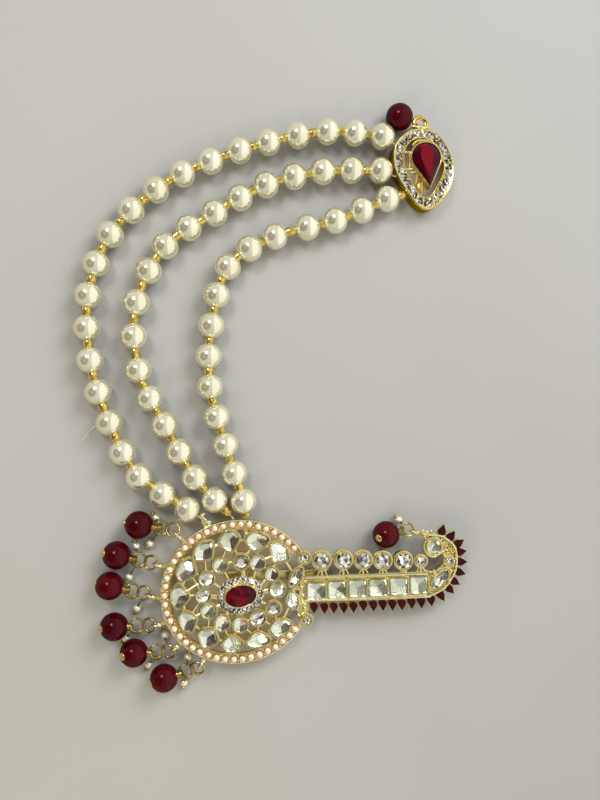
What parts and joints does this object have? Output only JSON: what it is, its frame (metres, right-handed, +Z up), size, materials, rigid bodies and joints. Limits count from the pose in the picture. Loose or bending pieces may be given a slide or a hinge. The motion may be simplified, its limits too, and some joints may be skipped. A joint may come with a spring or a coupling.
{
  "type": "turban ornament",
  "caption": "Pierced disc with a side arm, hung beads and three pearl strings gathered in a small clasp; pins to the front of a turban.",
  "frame": {"origin": "middle of the flat foot of the turban pin under the disc, on the surface the ornament lies on", "axes": "+Z up from the surface, +X along the side arm away from the disc, +Y from the disc to the clasp"},
  "size_m": [0.1156, 0.1737, 0.0083],
  "materials": {
    "pale_gold": "pale gold plate over cast metal, satin with polished edges",
    "clasp_gold": "yellow gold plate, polished",
    "dark_brass": "antique brass wire",
    "clear_stone": "foil-backed clear cut glass",
    "garnet": "deep wine red polished glass",
    "pearl": "cream pearl coat with lustre"
  },
  "bodies": {
    "root": {"arm_stone_1": "clear_stone", "arm_stone_2": "clear_stone", "arm_stone_3": "clear_stone", "arm_stone_4": "clear_stone", "arm_stone_5": "clear_stone", "arm_stone_6": "clear_stone", "clasp_setting": "clasp_gold", "drop_links_1": "dark_brass", "drop_links_2": "dark_brass", "drop_links_3": "dark_brass", "drop_links_4": "dark_brass", "drop_links_5": "dark_brass", "drop_links_6": "dark_brass", "drop_links_7": "dark_brass", "garnet_bead_1": "garnet", "garnet_bead_2": "garnet", "garnet_bead_3": "garnet", "garnet_bead_4": "garnet", "garnet_bead_5": "garnet", "garnet_bead_6": "garnet", "garnet_bead_7": "garnet", "garnet_bead_8": "garnet", "kalgi_setting": "pale_gold", "leaf_stone_1": "clear_stone", "leaf_stone_2": "clear_stone", "lens_stone": "clear_stone", "oval_garnet": "garnet", "pear_garnet": "garnet", "pearl_string_inner": "pearl", "pearl_string_middle": "pearl", "pearl_string_outer": "pearl", "petal_stone_01": "clear_stone", "petal_stone_02": "clear_stone", "petal_stone_03": "clear_stone", "petal_stone_04": "clear_stone", "petal_stone_05": "clear_stone", "petal_stone_06": "clear_stone", "petal_stone_07": "clear_stone", "petal_stone_08": "clear_stone", "petal_stone_09": "clear_stone", "petal_stone_10": "clear_stone", "petal_stone_11": "clear_stone", "round_stone": "clear_stone", "turban_pin": "pale_gold"}
  },
  "joints": []
}
